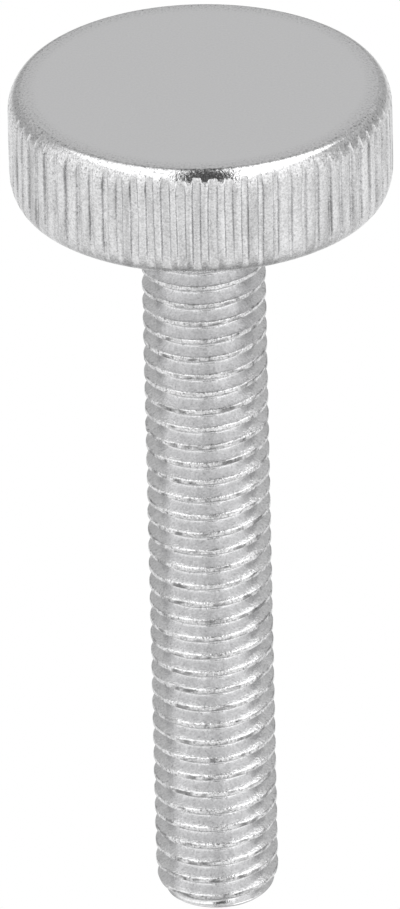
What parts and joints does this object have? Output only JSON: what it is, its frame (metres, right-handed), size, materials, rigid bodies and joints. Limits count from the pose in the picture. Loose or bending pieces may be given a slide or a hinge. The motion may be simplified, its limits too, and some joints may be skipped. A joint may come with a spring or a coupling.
{
  "type": "knurled thumb screw",
  "caption": "Thumb screw with a flat round straight-knurled head and a fully threaded right-hand shank with a rounded tip, standing on its head.",
  "frame": {"origin": "centre of the head's flat face, which the screw stands on", "axes": "+Z along the screw's axis, from the head to the tip of the thread"},
  "size_m": [0.024, 0.024, 0.0572],
  "materials": {
    "plated_steel": "bright zinc plating, satin on the flat faces and brighter on the rolled knurl and thread"
  },
  "bodies": {
    "root": {"thumb_screw": "plated_steel"}
  },
  "joints": []
}
